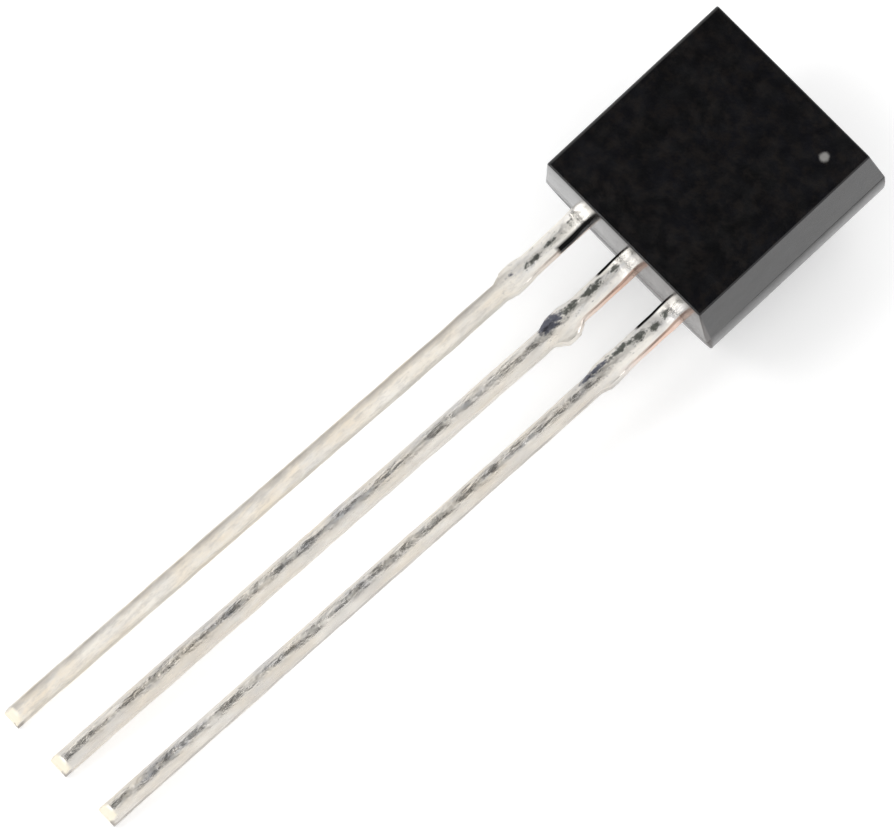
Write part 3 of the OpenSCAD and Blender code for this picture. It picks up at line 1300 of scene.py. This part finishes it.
@dataclass(kw_only=True)
class Lead:
    """One stamped and tin-dipped lead with its bonding post or chip paddle.

    Places that end in _y are distances along the straight lead, 0 at the body and negative
    outside it.

    Attributes:
        stub_left: How far the trimmed dam bar stands out on the left, and stub_right on the
            right.
        dam_dist: Where the dam bar starts, as a distance from the body.
        dam_slope: How long the stubs' slanted shoulders are.
        trim_reach: How far past the stubs the trimmed sides are smoothed.
        tip_cut: How much the slanted cut takes off the front of the tip.
        ring_gap: Distance of the rings that the lead is scored with.
        scored_x: Where it is scored lengthways, and scored_depth at which shares of its
            thickness.
        crown: How far the tin's edges fall away from its middle, right_crown times that on
            the right, and root_crown more near the body.
        belly: The same for the sides.
        skin: The tin's thickness, which starts inside the body.
        neck: How much lower the tin is between the body and the dam bar.
        wave: The height of the tin's waves, and waves the scale and share of their sizes.
        wave_seat: Where the waves lie in the noise, times the lead's number.
        bend_from: How far before the end of the dam bar the lead starts to bend.
        sway: How far the lead is moved aside past the dam bar.
    """

    polarity: Polarity
    node: str
    stub_left: float
    stub_right: float
    post: Post
    twist: float
    lean: float
    weather: Weathering
    length: float = 14.12
    thickness: float = 0.38
    width: float = 0.38
    root_w: float = 0.46
    pitch: float = 1.27
    dam_dist: float = 1.33
    dam_w: float = 0.67
    dam_slope: float = 0.17
    trim_reach: float = 0.3
    trim_steps: int = 5
    post_r: float = 0.12
    round_steps: int = 4
    tip_cut: float = 0.14
    tip_turn: float = 0.12
    tip_slope: Span = (-0.72, 0.69)
    edge_r: float = 0.045
    ring_gap: float = 0.09
    ring_from: float = 0.3
    scored_x: tuple[float, ...] = (-0.165, -0.11, -0.06, 0.0, 0.06, 0.11, 0.165)
    scored_depth: tuple[float, ...] = (0.75, 0.5, 0.25)
    crown: float = 0.038
    right_crown: float = 1.6
    root_crown: float = 0.02
    root_crown_y: Span = (-1.9, -1.4)
    flat_root: float = 0.15
    flat_root_y: Span = (-0.2, -0.35)
    belly: float = 0.01
    skin: float = 0.012
    skin_y: Span = (0.25, -0.25)
    neck: float = 0.018
    neck_y: Span = (0.0, -0.24)
    neck_end_y: Span = (-1.5, -1.0)
    stub_tilt: float = 0.2
    wave: float = 0.008
    wave_gain: float = 1.6
    wave_stretch: Point = (3.0, 1.3, 3.0)
    waves: tuple[tuple[float, float], ...] = ((1.1, 0.6), (2.7, 0.4))
    wave_seat: Point = (7.3, 1.9, 4.1)
    bend_from: float = 0.35
    bend_ease: float = 0.3
    twist_over: float = 2.0
    sway: float = 0.0
    sway_over: float = 1.5

    @property
    def x(self) -> float:
        """Where the lead leaves the body."""
        return (self.polarity.value - 1) * self.pitch

    @property
    def lean_y(self) -> float:
        """Where the lead starts to lean."""
        return -self.dam_dist - self.dam_w

    def outline(self) -> Outline:
        """The stamped outline of the straight lead, its centre at X = 0.

        Returns:
            The outline's corners in order.
        """
        thin, root = self.width / 2, self.root_w / 2
        left, right = -root - self.stub_left, root + self.stub_right
        post_left, post_right = self.post.left - self.x, self.post.right - self.x
        low, high = self.post.low, self.post.high
        down = self.lean_y + self.dam_slope
        up = -self.dam_dist - self.dam_slope
        outline = [(-thin, -self.length), (-thin, self.lean_y), (left, down), (left, up)]
        outline += [(-root, -self.dam_dist), (-root, low)]
        outline += [(post_left, low), (post_left, high), (post_right, high)]
        if post_right > root + TINY:
            outline += [(post_right, low), (root, low)]
        outline += [(root, -self.dam_dist), (right, up), (right, down)]
        outline += [(thin, self.lean_y), (thin, -self.length)]
        return outline

    def blank(self) -> bmesh.types.BMesh:
        """Makes the straight lead with its rounded edges and its slanted tip.

        Returns:
            The lead's mesh, scored finely enough to be shaped.
        """
        bm = bmesh.new()
        plate(bm, self.outline(), -self.thickness, 0.0)
        corners = [e for e in bm.edges if self.is_post_corner(e)]
        round_edges(bm, corners, self.post_r, self.round_steps)
        rim = [e for e in bm.edges if not self.is_upright(e) and borders(e, self.is_level)]
        round_edges(bm, rim, self.edge_r, self.round_steps)
        turn = self.tip_turn * (self.polarity.value - 1)
        tip = (0, -self.length + self.tip_cut / 2, -self.tip_cut / 2)
        slice_off(bm, tip, (turn, *self.tip_slope))
        rings = int((self.length + self.ring_from) / self.ring_gap)
        score(bm, 1, [self.ring_from - self.ring_gap * k for k in range(rings)])
        score(bm, 0, self.scored_x)
        score(bm, 2, [-share * self.thickness for share in self.scored_depth])
        bmesh.ops.remove_doubles(bm, verts=bm.verts, dist=TINY)
        low, high = self.lean_y - self.trim_reach, self.trim_reach - self.dam_dist
        trimmed = [v for v in bm.verts if low < v.co.y < high]
        for _ in range(self.trim_steps):
            bmesh.ops.smooth_vert(
                bm, verts=trimmed, factor=0.5, use_axis_x=True, use_axis_y=False, use_axis_z=True
            )
        return bm

    def is_upright(self, edge: bmesh.types.BMEdge) -> bool:
        """Whether an edge runs through the strip's thickness."""
        return abs(edge.verts[0].co.z - edge.verts[1].co.z) > TINY

    def is_post_corner(self, edge: bmesh.types.BMEdge) -> bool:
        """Whether an edge is a corner at the far end of the post."""
        middle = (self.post.low + self.post.high) / 2
        return self.is_upright(edge) and edge.verts[0].co.y > middle

    def is_level(self, face: bmesh.types.BMFace) -> bool:
        """Whether a face is one of the strip's two flat faces."""
        return abs(face.normal.z) > MOSTLY

    def half_width(self, co: Vector) -> float:
        """Half of the lead's width at a point of it."""
        return self.width / 2 if co.y < self.lean_y else max(abs(co.x), self.root_w / 2)

    def swell(self, co: Vector, bias: Vector) -> Vector:
        """How far the tin's crown and waves move a point of the straight lead.

        Args:
            co: The point.
            bias: Where the lead's waves lie in the noise.

        Returns:
            The move.
        """
        fade = ramp(co.y, *self.skin_y)
        if fade == 0.0:
            return Vector((0, 0, 0))
        half_t = self.thickness / 2
        across = max(-1.0, min(1.0, co.x / self.half_width(co)))
        through = max(-1.0, min(1.0, (co.z + half_t) / half_t))
        seat = Vector([c * scale for c, scale in zip(co, self.wave_stretch)]) + bias
        ripple = sum(noise.noise(seat * scale) * share for scale, share in self.waves)
        depth = -self.wave * (1.0 + ripple * self.wave_gain)
        crown = self.crown + self.root_crown * ramp(co.y, *self.root_crown_y)
        crown *= self.right_crown if co.x > 0 else 1.0
        crown *= self.flat_root + (1.0 - self.flat_root) * ramp(co.y, *self.flat_root_y)
        down = -crown * across**2 * math.copysign(through**4, through)
        side = -self.belly * through**2 * math.copysign(across**4, across)
        spread = self.skin + self.wave + depth
        move = Vector((side + across**3 * spread, 0, down + through**3 * depth)) * fade
        if co.z > -half_t:
            move.z -= self.stub_tilt * max(0.0, abs(co.x) - self.root_w / 2)
            move.z -= self.neck * ramp(co.y, *self.neck_y) * ramp(co.y, *self.neck_end_y)
        return move

    def bend(self, co: Vector) -> Vector:
        """Where a point of the straight lead comes to when the lead twists and leans.

        Args:
            co: The point.

        Returns:
            Its place in the package.
        """
        beyond = max(0.0, self.lean_y + self.bend_from - co.y)
        eased = beyond * beyond / (beyond + self.bend_ease)
        angle = self.twist * ramp(eased, 0.0, self.twist_over)
        middle = -self.thickness / 2
        z = co.z - middle
        x = co.x * math.cos(angle) - z * math.sin(angle)
        z = co.x * math.sin(angle) + z * math.cos(angle)
        aside = self.sway * ramp(eased, 0.0, self.sway_over) - math.tan(self.lean) * eased
        return Vector((self.x + x + aside, co.y, z + middle))

    def stains(self, co: Vector) -> dict[Stain, float]:
        """What the finish needs to know about a point of the straight lead.

        Args:
            co: The point.

        Returns:
            How far each change of the tin, painted shade too, has gone there, from 0 to 1.
        """
        weather, half_w = self.weather, self.half_width(co)
        beyond = ramp(co.y, *weather.wear_and_shade_y)
        calm = beyond * ramp(co.x / half_w, *weather.calm_x)
        # Edge wear together with painted shade on the edges and the calm front.
        wear_and_shade = weather.wear_and_shade(co, half_w, self.thickness / 2) + weather.shade * calm
        cut, burr = weather.tip(co, self.length, self.tip_cut)
        # The second value is painted shade near the body.
        copper, painted_shade = weather.root(co)
        matte = weather.root_matte + (weather.matte - weather.root_matte) * beyond
        return {
            Stain.WEAR_AND_SHADE: max(burr, min(1.0, wear_and_shade)),
            Stain.CUT: cut,
            Stain.COPPER: copper,
            Stain.PAINTED_SHADE: painted_shade,
            Stain.SMEAR: weather.smeared(co),
            Stain.MATTE: matte * ramp(co.y, *weather.matte_y),
            Stain.CALM: calm,
        }

    def build(self, lying: Lying) -> bpy.types.Object:
        """Builds the lead.

        Args:
            lying: Where the package lies.

        Returns:
            The finished object.
        """
        bm = self.blank()
        bias = Vector(self.wave_seat) * (self.polarity.value + 1)
        layers = {stain: bm.verts.layers.float.new(stain.value) for stain in Stain}
        for v in bm.verts:
            for stain, amount in self.stains(v.co).items():
                v[layers[stain]] = amount
            v.co = self.bend(v.co + self.swell(v.co, bias))
        return finish_mesh(bm, self.node.replace("_lead", "_terminal"), lying)


@dataclass
class LeadRow:
    """The three leads of the leadframe, side by side."""

    leads: list[Lead] = field(
        default_factory=lambda: [
            Lead(
                polarity=Polarity.EMITTER,
                node="emitter_lead",
                stub_left=0.06,
                stub_right=0.03,
                post=Post(-1.7, -0.95, 1.05, 2.75),
                twist=math.radians(2),
                lean=math.radians(1.95),
                sway=0.022,
                skin=-0.004,
                weather=Weathering(
                    wear=(0.8, 0.5),
                    reach=0.05,
                    shade=0.0,
                    bare=0.45,
                    painted_shade_on_right=True,
                    painted_shade=(-0.2, 0.71),
                    matte=1.0,
                    soil=0.45,
                    smears=(
                        Smear(-0.02, -0.2, 0.1, 0.13),
                        Smear(-0.01, -0.75, 0.08, 0.3),
                        Smear(0.01, -1.2, 0.1, 0.32),
                        Smear(-0.05, -1.7, 0.06, 0.12),
                    ),
                ),
            ),
            Lead(
                polarity=Polarity.BASE,
                node="base_lead",
                stub_left=0.05,
                stub_right=0.14,
                post=Post(-0.425, 0.425, 1.05, 1.8),
                twist=math.radians(-1.3),
                lean=math.radians(1.7),
                weather=Weathering(
                    wear=(0.35, 0.22),
                    bare=1.0,
                    painted_shade=(-0.2, 0.58),
                    smears=(
                        Smear(-0.05, -0.22, 0.12, 0.13),
                        Smear(-0.08, -0.8, 0.1, 0.35),
                        Smear(-0.1, -1.35, 0.1, 0.3),
                        Smear(-0.13, -1.82, 0.2, 0.36),
                    ),
                ),
            ),
            Lead(
                polarity=Polarity.COLLECTOR,
                node="collector_lead",
                stub_left=0.02,
                stub_right=0.03,
                post=Post(-0.7, 1.5, 2.05, 3.7),
                twist=math.radians(-3),
                lean=math.radians(1.45),
                sway=0.012,
                weather=Weathering(
                    wear=(0.35, 0.75),
                    bare=0.9,
                    painted_shade=(-0.2, 0.72),
                    smears=(
                        Smear(-0.02, -0.16, 0.12, 0.12),
                        Smear(0.02, -0.45, 0.1, 0.15),
                        Smear(-0.06, -0.8, 0.09, 0.25),
                        Smear(-0.12, -1.25, 0.09, 0.35),
                        Smear(-0.13, -1.9, 0.08, 0.5),
                    ),
                ),
            ),
        ]
    )

    def build(self, lying: Lying, finish: TinFinish) -> None:
        """Builds and dresses the leads, each in the place of its CAD node.

        Args:
            lying: Where the package lies.
            finish: The tin's finish.
        """
        tin = finish.build(lying)
        for lead in self.leads:
            obj = lead.build(lying)
            obj.data.materials.append(tin)
            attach(obj, BODY)
            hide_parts(lead.node)
            LOG.info("%s: %d faces", obj.name, len(obj.data.polygons))


# ---- What is sealed inside ----


@dataclass
class SealedParts:
    """The chip, its bonding layer and the bond wires, which keep their CAD shapes."""

    finishes: dict[str, InnerFinish] = field(
        default_factory=lambda: {
            "silicon_die": SILICON,
            "die_attach": BONDING,
            "emitter_wire": GOLD,
            "base_wire": GOLD,
        }
    )

    def dress(self, nodes: dict[str, bpy.types.Object], lying: Lying) -> None:
        """Gives each CAD node its finish.

        Args:
            nodes: The frame's objects by their node names.
            lying: Where the package lies.
        """
        made: dict[str, bpy.types.Material] = {}
        for name, finish in self.finishes.items():
            if finish.name not in made:
                made[finish.name] = finish.build(lying)
            for slot in nodes[name].material_slots:
                slot.material = made[finish.name]
            LOG.info("%s: %s", name, finish.name)


# ---- The studio ----


@dataclass
class Studio:
    """A plain pale floor, a pale surround that is dark overhead, and one soft lamp."""

    floor_half: float = 0.6
    floor_cells: int = 4
    floor_colour: Colour = (0.9, 0.9, 0.9)
    floor_roughness: float = 0.9
    glow: float = 0.3
    dark_towards: Point = (-0.285, 0.04, 0.957)
    dark_core: float = math.radians(13)
    dark_edge: float = math.radians(24)
    overhead: float = 0.02
    lamp_at: Point = (-0.0725, -0.115, 0.215)
    lamp_size: float = 0.07
    lamp_power: float = 0.085

    def floor_finish(self) -> bpy.types.Material:
        """Builds a matt material that glows where it is seen, and not where it only lights.

        Returns:
            The material.
        """
        material = bpy.data.materials.new("pale_floor")
        material.use_nodes = True
        net = Wiring(material.node_tree)
        shader = material.node_tree.nodes["Principled BSDF"]
        shader.inputs["Base Color"].default_value = paint(self.floor_colour)
        shader.inputs["Roughness"].default_value = self.floor_roughness
        shader.inputs["Specular IOR Level"].default_value = 0.0
        path = net.node("LightPath").outputs
        seen = net.maths("MAXIMUM", path["Is Camera Ray"], path["Is Glossy Ray"])
        seen = net.maths("MAXIMUM", seen, path["Is Transmission Ray"])
        net.set(shader.inputs["Emission Strength"], net.times(seen, self.glow))
        shader.inputs["Emission Color"].default_value = grey(1.0)
        return material

    def floor(self) -> None:
        """The floor, which shows white in the open and keeps the shadow."""
        bm = bmesh.new()
        cells = self.floor_cells
        bmesh.ops.create_grid(bm, x_segments=cells, y_segments=cells, size=self.floor_half)
        mesh = bpy.data.meshes.new("floor")
        bm.to_mesh(mesh)
        bm.free()
        mesh.materials.append(self.floor_finish())
        obj = bpy.data.objects.new("floor", mesh)
        bpy.context.scene.collection.objects.link(obj)

    def surround(self) -> None:
        """The world: white all round, with a dark patch overhead that gloss reflects."""
        world = bpy.data.worlds.new("pale_surround")
        world.use_nodes = True
        bpy.context.scene.world = world
        net = Wiring(world.node_tree)
        towards = net.node("TexCoord").outputs["Generated"]
        axis = Vector(self.dark_towards).normalized()
        aligned = net.node("VectorMath", {0: towards, 1: axis}, operation="DOT_PRODUCT")
        edge, core = math.cos(self.dark_edge), math.cos(self.dark_core)
        light = net.spread(aligned.outputs["Value"], edge, core, 1.0, self.overhead)
        camera = net.node("LightPath").outputs["Is Camera Ray"]
        back = world.node_tree.nodes["Background"]
        white = net.maths("MAXIMUM", light, camera)
        net.set(back.inputs["Color"], net.blend(white, grey(0), grey(1)))
        back.inputs["Strength"].default_value = 1.0

    def lamp(self) -> None:
        """The soft lamp above the far left."""
        data = bpy.data.lights.new("soft_lamp", "AREA")
        data.shape, data.size, data.energy = "SQUARE", self.lamp_size, self.lamp_power
        obj = bpy.data.objects.new("soft_lamp", data)
        obj.location = self.lamp_at
        obj.rotation_euler = (-Vector(self.lamp_at)).to_track_quat("-Z", "Y").to_euler()
        bpy.context.scene.collection.objects.link(obj)

    def build(self) -> None:
        """Builds the floor, the surround and the lamp."""
        self.floor()
        self.surround()
        self.lamp()
        bpy.context.scene.view_settings.view_transform = "Standard"


@dataclass
class Viewpoint:
    """The camera: far off, above the lead end and to the right.

    Distances are in metres. The view is as wide as view_width at the place it is aimed at,
    which lies aside of the pivot by the two offsets, across and up the view.
    """

    azimuth: float = math.radians(49.9)
    elevation: float = math.radians(68.17)
    roll: float = math.radians(-2.56)
    distance: float = 0.35
    pivot: Point = (0.0, 0.0, 0.002)
    aside: float = 0.000128
    above: float = 0.000215
    view_width: float = 0.0165372
    sensor: float = 36.0
    clip: Span = (0.01, 10.0)

    def build(self) -> None:
        """Creates the camera and makes it the scene's."""
        a, e, r = self.azimuth, self.elevation, self.roll
        back = Vector((math.sin(a) * math.cos(e), -math.cos(a) * math.cos(e), math.sin(e)))
        level = Vector((math.cos(a), math.sin(a), 0))
        steep = back.cross(level)
        right = math.cos(r) * level + math.sin(r) * steep
        up = -math.sin(r) * level + math.cos(r) * steep
        aim = Vector(self.pivot) + right * self.aside + up * self.above
        data = bpy.data.cameras.new("camera")
        data.sensor_width = self.sensor
        data.lens = self.distance * self.sensor / self.view_width
        data.clip_start, data.clip_end = self.clip
        obj = bpy.data.objects.new("camera", data)
        turn = Matrix((right, up, back)).transposed()
        obj.matrix_world = Matrix.Translation(aim + back * self.distance) @ turn.to_4x4()
        bpy.context.scene.collection.objects.link(obj)
        bpy.context.scene.camera = obj


def main() -> None:
    """Builds the pieces round the frame and reports each of them."""
    logging.basicConfig(level=logging.INFO, format="%(name)s: %(message)s")
    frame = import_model()
    Viewpoint().build()
    leads = LeadRow()
    lying = Lying.from_record(frame["record"], leads.leads[0].thickness)
    MouldedBody().build(lying, MouldingFinish())
    leads.build(lying, TinFinish())
    SealedParts().dress(frame["nodes"], lying)
    Studio().build()


if __name__ == "__main__":
    main()
